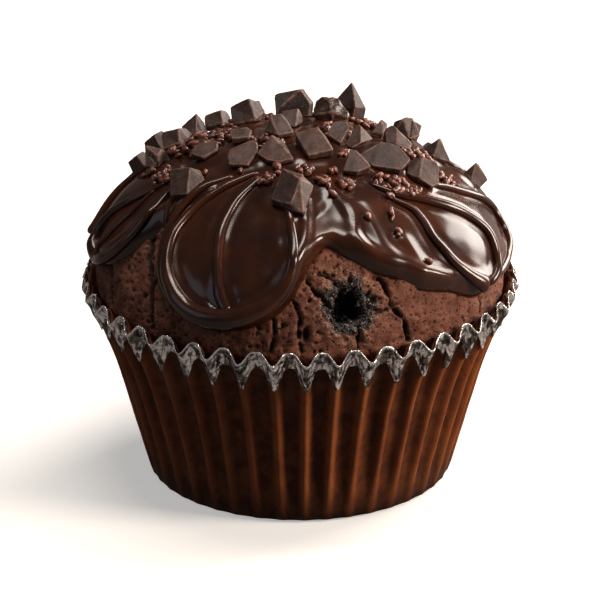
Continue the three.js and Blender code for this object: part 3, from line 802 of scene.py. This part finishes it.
def makeGlaze():
    mesh = bmesh.new()
    rows = glaze["undersideRows"] + glaze["rows"]

    def place(vert, across, up):
        azimuth = 360 * across - 180
        row = round(up * rows)
        if row < glaze["undersideRows"]:
            polar = glazeEdge(azimuth) * row / glaze["undersideRows"]
            vert.co = domePoint(azimuth, polar, glaze["sunk"])
            return
        share = (row - glaze["undersideRows"]) / glaze["rows"]
        polar = glazeEdge(azimuth) * (1 - share ** glaze["rowSpread"])
        if row == rows:  # the pole
            azimuth, polar = 0.0, 0.0
        vert.co = domePoint(azimuth, polar, glazeLift(azimuth, polar))

    sheet(mesh, glaze["columns"], rows, place)
    finishPiece("glazeCoat", mesh, glazeSkin, "glaze")


def glazeFinish():
    finish = Finish("poured chocolate glaze", Specular_IOR_Level=0.5)
    depth = finish.cloud(7, 2, 0.5)
    colour = finish.blend(depth.over(0.3, 0.7), paint("#2c130a"), paint("#42200f"))
    height = finish.cloud(6, 1, 0.4) * 0.12 + finish.cloud(0.25, 2, 0.5) * 0.003
    rough = 0.15 + finish.cloud(1.2, 2, 0.5) * 0.08
    return finish.feed(Base_Color=colour, Roughness=rough, Normal=finish.bump(height, 0.5))


def makeStrand(mesh, route):
    def place(vert, across, up):
        azimuth, polar, width = along(route, up)
        ahead = domePoint(*along(route, min(1.0, up + 0.01))[:2])
        behind = domePoint(*along(route, max(0.0, up - 0.01))[:2])
        normal = domeNormal(azimuth, polar)
        side = (ahead - behind).normalized().cross(normal)
        end = min(up, 1 - up) * strand["taper"]
        width *= math.sqrt(max(0.0, 1 - (1 - min(1.0, end)) ** 2)) * (1 + 0.08 * noise.noise(normal * 8))
        turn = 2 * math.pi * across
        middle = domePoint(azimuth, polar, glazeLift(azimuth, polar) + strand["lift"] * width)
        sideways = side * (width * strand["wide"] * math.cos(turn))
        vert.co = middle + sideways + normal * (width * strand["tall"] * math.sin(turn))

    sheet(mesh, strand["sides"], len(route) * strand["rowsPerPlace"], place)


def makeDrizzles():
    for node, routes in drizzle.items():
        mesh = bmesh.new()
        for route in routes:
            makeStrand(mesh, route)
        finishPiece(node.replace("_", "-"), mesh, glazeSkin, node, turned=True)


glazeSkin = glazeFinish()
makeGlaze()
makeDrizzles()


# Chopped chocolate: each piece's broken corners are worn round and pale.

chop = {
    "round": 0.2,
    "lift": 0.75,  # how far it stands off its CAD place
    "merge": 0.02,  # CAD corners closer than this are one
    "flatness": 26.0,  # corners flatter than this are joined into one face
    "sharp": 12.0,  # edges sharper than this are worn round
    "flatArea": 0.6,  # faces larger than this keep a clean middle
    "wornStrip": 0.16,  # beside a pale strip this wide
    "longestEdge": 0.75,
    "dent": 0.08,
    "glossyDent": 0.35,
    "glossy": ["chunk_13"],
    "tone": 0.6,  # 0 is dark and 1 is pale with bloom
    "tones": {
        "chunk_01": 0.5, "chunk_02": 0.85, "chunk_04": 1.0, "chunk_06": 0.35, "chunk_10": 0.4,
        "chunk_13": 0.3, "chunk_14": 0.4, "chunk_15": 0.0, "chunk_16": 0.35, "chunk_24": 0.4,
        "chunk_28": 0.75,
    },
}


def chunkBlock(name):  # the node's convex form, with its flat faces whole
    source = bmesh.new()
    source.from_mesh(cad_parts[name].data)
    mesh = bmesh.new()
    for vert in source.verts:
        mesh.verts.new(vert.co / mm)
    source.free()
    bmesh.ops.remove_doubles(mesh, verts=mesh.verts, dist=chop["merge"])
    hull = bmesh.ops.convex_hull(mesh, input=mesh.verts)
    spare = hull["geom_interior"] + hull["geom_unused"]
    points = {item for item in spare if isinstance(item, bmesh.types.BMVert)}
    bmesh.ops.delete(mesh, geom=list(points), context="VERTS")
    flatness = math.radians(chop["flatness"])
    bmesh.ops.dissolve_limit(mesh, angle_limit=flatness, verts=mesh.verts, edges=mesh.edges)
    return mesh


def makeChunk(name, number):
    mesh = chunkBlock(name)
    worn = mesh.verts.layers.float.new("worn")
    sharp = [edge for edge in mesh.edges if edge.calc_face_angle(0) > math.radians(chop["sharp"])]
    made = bmesh.ops.bevel(
        mesh, geom=sharp, offset=chop["round"], offset_type="OFFSET", segments=3, profile=0.5,
        affect="EDGES", clamp_overlap=True, material=-1,
    )
    rounded = set(made["faces"])
    flat = [face for face in mesh.faces if face not in rounded and face.calc_area() > chop["flatArea"]]
    for face in rounded:
        for vert in face.verts:
            vert[worn] = 1.0
    bmesh.ops.inset_individual(mesh, faces=flat, thickness=chop["wornStrip"], use_even_offset=True)
    for face in flat:
        for vert in face.verts:
            vert[worn] = 0.0
    for _ in range(5):
        bmesh.ops.triangulate(mesh, faces=mesh.faces)
        long = [edge for edge in mesh.edges if edge.calc_length() > chop["longestEdge"]]
        if not long:
            break
        bmesh.ops.subdivide_edges(mesh, edges=long, cuts=1)
    bmesh.ops.triangulate(mesh, faces=mesh.faces)
    bmesh.ops.remove_doubles(mesh, verts=mesh.verts, dist=0.0001)
    fins = [face for face in mesh.faces if any(edge.is_boundary for edge in face.edges)]
    bmesh.ops.delete(mesh, geom=fins, context="FACES")  # left where a bevel's corners met
    mesh.normal_update()
    lift = domeNormal(*nodeAngles(name)) * chop["lift"]
    tone = mesh.verts.layers.float.new("tone")
    for vert in mesh.verts:
        vert[tone] = chop["tones"].get(name, chop["tone"])
        here = vert.co + Vector((number * 7.0, 0, 0))
        dent = chop["dent"] * (0.9 * grain(here, 1.9, 3) + 0.5 * grain(here, 0.8, 5))
        if name in chop["glossy"]:
            dent += chop["glossyDent"] * abs(grain(here, 1.3, 8))
        vert.co += vert.normal * dent + lift
    skin = glossyChocolate if name in chop["glossy"] else choppedChocolate
    finishPiece(name.replace("_", "-"), mesh, skin, name, join=0.0001)


def chocolateFinish(name, rough, dust):
    finish = Finish(name, Specular_IOR_Level=0.4)
    worn = finish.mark("worn")
    speck = finish.cloud(0.32, 4, 0.7)
    mottle = finish.cloud(1.8, 3, 0.55)
    dark = finish.blend(mottle.over(0.3, 0.7), paint("#1a110e"), paint("#2b1c18"))
    pale = finish.blend(mottle.over(0.3, 0.7), paint("#3a2620"), paint("#573a31"))
    base = finish.blend(finish.mark("tone"), dark, pale)
    base = finish.blend(speck.over(0.54, 0.72) * dust, base, paint("#7d6054"))
    chips = finish.cloud(0.9, 3, 0.6).over(0.38, 0.62)
    colour = finish.blend(worn.over(0.8, 1.0) * (0.08 + chips * 0.34), base, paint("#a98070"))
    height = speck * 0.05 + finish.cloud(1.0, 3, 0.5) * 0.14
    return finish.feed(Base_Color=colour, Roughness=rough + speck * 0.2, Normal=finish.bump(height, 0.7))


choppedChocolate = chocolateFinish("chopped chocolate", 0.42, 0.6)
glossyChocolate = chocolateFinish("glossy chocolate", 0.12, 0.1)
for number, name in enumerate(chunkNames):
    makeChunk(name, number)


# Crumbs: small glazed nuggets in heaps, and loose ones.

crumbs = {
    "seed": 11,
    "size": (0.62, 1.05),  # smallest and largest half length
    "slim": (0.46, 0.7),  # half width as a share of it
    "taper": (0.0, 0.45),
    "bend": (-0.3, 0.3),
    "lumps": 0.3,
    "turn": 137.5,  # from one crumb of a heap to the next
    "jitter": 0.5,
    "heapFrom": 6,  # a heap of more than this many is piled up
    "heapHeight": 0.9,
    "upArc": 29.0,  # length of one radian up the dome, and around it
    "aroundArc": 34.0,
    "heaps": {  # by the node each stands for: place, how many, spread
        "crumbs_1": [(-80, 40, 13, 1.9), (-92, 44, 5, 1.2), (-76, 34, 5, 1.3)],
        "crumbs_2": [(-106, 24, 22, 3.2), (-92, 27, 12, 2.0), (-110, 31, 12, 2.4), (-122, 25, 8, 2.2)],
        "crumbs_3": [(-48, 10, 10, 1.8), (-85, 11, 6, 1.5), (-22, 25, 5, 1.4), (-17, 22, 3, 1.0)],
        "crumbs_4": [(112, 7, 14, 2.4), (129, 12, 10, 2.2), (144, 30, 14, 2.6), (100, 15, 8, 1.8)],
        "crumbs_5": [(53, 34, 13, 2.0), (57, 38, 7, 1.4), (82, 44, 6, 1.6), (46, 30, 4, 1.2)],
        "crumbs_6": [(3, 21, 7, 1.4), (14, 27, 6, 1.0), (27, 28, 5, 1.3), (24, 22, 3, 0.8),
                     (46, 16, 3, 0.8)],
        "crumbs_7": [(84, 44, 5, 1.3), (95, 35, 10, 2.0), (92, 30, 6, 1.5)],
        "crumbs_8": [(-160, 32, 11, 2.2), (175, 34, 8, 2.2), (-140, 30, 8, 2.0), (155, 40, 7, 2.0),
                     (-100, 34, 7, 1.8)],
    },
    "looseIn": "crumbs_6",  # the node that the loose ones belong to
    "loose": [
        (27, 42), (38, 42), (37, 44), (36, 49), (35.5, 50), (41, 61), (16, 32), (44, 36),
        (45, 36.5), (60, 20), (-42, 24), (-44, 34), (-60, 30), (120, 44), (-128, 44), (178, 48),
    ],
}


def makeCrumb(mesh, draw, azimuth, polar, lift):
    made = bmesh.ops.create_icosphere(mesh, subdivisions=2, radius=1.0)
    size = draw.uniform(*crumbs["size"])
    wide = draw.uniform(*crumbs["slim"])
    taper, bend = draw.uniform(*crumbs["taper"]), draw.uniform(*crumbs["bend"])
    shift = Vector((draw.uniform(0, 50), 0, 0))
    normal = domeNormal(azimuth, polar)
    facing = Vector((draw.uniform(-1, 1), draw.uniform(-1, 1), draw.uniform(-1, 1)))
    long = (facing - normal * facing.dot(normal) * draw.uniform(0.5, 1.0)).normalized()
    side = long.cross(normal).normalized()
    up = side.cross(long)
    middle = domePoint(azimuth, polar, glazeLift(azimuth, polar) + lift + 0.45 * size)
    for vert in made["verts"]:
        x, y, z = vert.co
        narrow = wide * (1 - taper * x)
        lumpy = 1 + crumbs["lumps"] * noise.noise(vert.co * 1.5 + shift)
        ball = Vector((x, y * narrow, z * narrow + bend * x * x)) * lumpy
        vert.co = middle + (long * ball.x + side * ball.y + up * ball.z) * size


def makeHeap(mesh, draw, azimuth, polar, count, spread):
    around = crumbs["aroundArc"] * math.sin(math.radians(max(8, polar)))
    for i in range(count):
        far = spread * math.sqrt((i + 0.5) / count)
        turn = math.radians(crumbs["turn"] * i + azimuth)
        p = polar + math.degrees(far * math.sin(turn) / crumbs["upArc"])
        p += draw.uniform(-crumbs["jitter"], crumbs["jitter"])
        a = azimuth + math.degrees(far * math.cos(turn) / around)
        heaped = 0.0
        if count > crumbs["heapFrom"]:
            heaped = draw.uniform(0, crumbs["heapHeight"]) * (1 - far / spread)
        makeCrumb(mesh, draw, a, max(1.0, p), heaped)


def makeCrumbs():
    draw = random.Random(crumbs["seed"])
    finish = crumbFinish()
    for node, heaps in crumbs["heaps"].items():
        mesh = bmesh.new()
        for heap in heaps:
            makeHeap(mesh, draw, *heap)
        if node == crumbs["looseIn"]:
            for azimuth, polar in crumbs["loose"]:
                makeCrumb(mesh, draw, azimuth, polar, 0.0)
        finishPiece(node.replace("_", "-"), mesh, finish, node, join=0.00001, turned=True)


def crumbFinish():
    finish = Finish("glazed crumbs", Specular_IOR_Level=0.6, Coat_Weight=0.3, Coat_Roughness=0.15)
    tone = finish.cloud(1.3, 1, 0.5).over(0.32, 0.68)
    colour = finish.blend(tone, paint("#4b2418"), paint("#7c4432"))
    # painted highlights: pale flecks on the crumbs
    colour = finish.blend(finish.cloud(0.4, 3, 0.6).over(0.58, 0.7) * 0.5, colour, paint("#b58470"))
    height = finish.cloud(0.5, 3, 0.5) * 0.15
    return finish.feed(Base_Color=colour, Roughness=0.26 + tone * 0.1, Normal=finish.bump(height, 0.7))


makeCrumbs()
